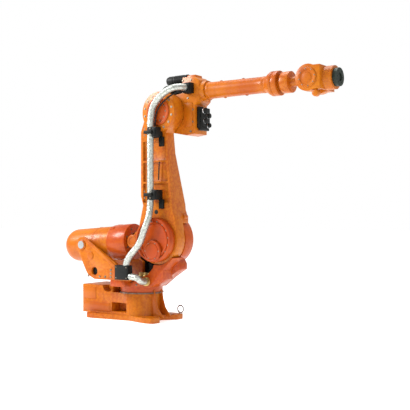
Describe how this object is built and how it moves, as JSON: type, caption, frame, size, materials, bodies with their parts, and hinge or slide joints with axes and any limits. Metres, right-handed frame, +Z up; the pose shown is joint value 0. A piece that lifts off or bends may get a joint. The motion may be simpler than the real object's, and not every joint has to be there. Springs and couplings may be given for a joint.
{
  "type": "industrial robot arm",
  "caption": "Six-axis floor-standing industrial robot arm with a one-sided upper arm, spring balancer, long forearm tube and in-line wrist.",
  "frame": {"origin": "on the axis-1 centre line, in the underside of the foot that is bolted to the floor", "axes": "+Z up along axis 1, +X the way the forearm points with every joint at zero, the upper arm stands on the -Y side"},
  "size_m": [2.6796, 0.5989, 2.116],
  "materials": {
    "orange_paint": "satin gloss orange paint over castings",
    "dark_housing": "matt black powder coat",
    "black_plastic": "matt moulded",
    "cast_iron": "machined, oiled",
    "bright_steel": "turned",
    "dark_green_steel": "blackened steel",
    "hose_sleeve": "crinkled aluminised sleeve",
    "cable_rubber": "matt",
    "brass_fitting": "dull"
  },
  "bodies": {
    "base": {"base_casting": "orange_paint", "base_rear_panel": "dark_housing", "power_connector": "dark_housing", "signal_connector": "dark_housing", "axis1_bearing_ring": "cast_iron", "base_lifting_eye": "bright_steel"},
    "turret": {"turret_casting": "orange_paint", "balancer_bracket_right": "orange_paint", "balancer_bracket_left": "orange_paint", "axis1_motor": "dark_housing", "axis2_motor": "dark_housing", "axis2_gear_case": "cast_iron", "hose_clamp_box": "black_plastic", "hose_socket": "brass_fitting", "turret_hose": "hose_sleeve"},
    "balancer_barrel": {"balancer_cylinder": "orange_paint", "balancer_front_cap": "orange_paint", "trunnion_pin_right": "bright_steel", "trunnion_pin_left": "bright_steel"},
    "upper_arm": {"upper_arm_casting": "orange_paint", "axis2_cover": "orange_paint", "axis2_cap": "orange_paint", "axis3_cover": "orange_paint", "clevis_pin": "bright_steel", "lower_hose_clamp": "black_plastic", "upper_hose_clamp": "black_plastic", "arm_hose": "hose_sleeve", "shoulder_hose": "hose_sleeve"},
    "balancer_piston": {"balancer_rod": "bright_steel"},
    "forearm": {"elbow_casting": "orange_paint", "axis3_motor": "dark_housing", "axis3_gear_case": "cast_iron", "axis4_motor": "dark_housing", "axis5_motor": "dark_housing", "axis6_motor": "dark_housing", "hose_entry_clamp": "black_plastic", "forearm_tube": "orange_paint", "wrist_fixed_flange": "orange_paint", "elbow_hose": "hose_sleeve", "elbow_cable": "cable_rubber"},
    "wrist_roll": {"wrist_housing": "orange_paint"},
    "wrist_bend": {"wrist_head": "orange_paint", "axis5_cover_right": "orange_paint", "axis5_cover_left": "orange_paint", "axis5_gear_cap": "orange_paint"},
    "tool_flange": {"tool_flange": "dark_green_steel"}
  },
  "joints": [
    {"name": "axis1_turn", "type": "hinge", "parent": "base", "child": "turret", "pos_m": [0, 0, 0.247], "axis": [0, 0, 1], "range_deg": [-180, 180]},
    {"name": "axis2_swing", "type": "hinge", "parent": "turret", "child": "upper_arm", "pos_m": [0.34, -0.09, 0.712], "axis": [0, 1, 0], "range_deg": [-55, 55], "deforming": ["shoulder_hose"]},
    {"name": "balancer_tilt", "type": "hinge", "parent": "turret", "child": "balancer_barrel", "pos_m": [-0.439, -0.105, 0.655], "axis": [0, -1, 0], "range_deg": [-19.6, 19.6]},
    {"name": "clevis_turn", "type": "hinge", "parent": "upper_arm", "child": "balancer_piston", "pos_m": [0.0827, -0.105, 0.6932], "axis": [0, -1, 0], "range_deg": [-74.6, 74.6]},
    {"name": "axis3_swing", "type": "hinge", "parent": "upper_arm", "child": "forearm", "pos_m": [0.364, 0, 1.787], "axis": [0, -1, 0], "range_deg": [-75, 70], "deforming": ["elbow_hose", "elbow_cable"]},
    {"name": "axis4_roll", "type": "hinge", "parent": "forearm", "child": "wrist_roll", "pos_m": [1.43, 0, 1.958], "axis": [1, 0, 0], "range_deg": [-200, 200]},
    {"name": "axis5_bend", "type": "hinge", "parent": "wrist_roll", "child": "wrist_bend", "pos_m": [1.712, 0, 1.958], "axis": [0, -1, 0], "range_deg": [-115, 115]},
    {"name": "axis6_spin", "type": "hinge", "parent": "wrist_bend", "child": "tool_flange", "pos_m": [1.9, 0, 1.958], "axis": [1, 0, 0], "range_deg": [-300, 300]}
  ],
  "couplings": [
    {"joint": "balancer_tilt", "follows": "axis2_swing", "ratio": 0.35},
    {"joint": "clevis_turn", "follows": "axis2_swing", "ratio": 1.35}
  ]
}
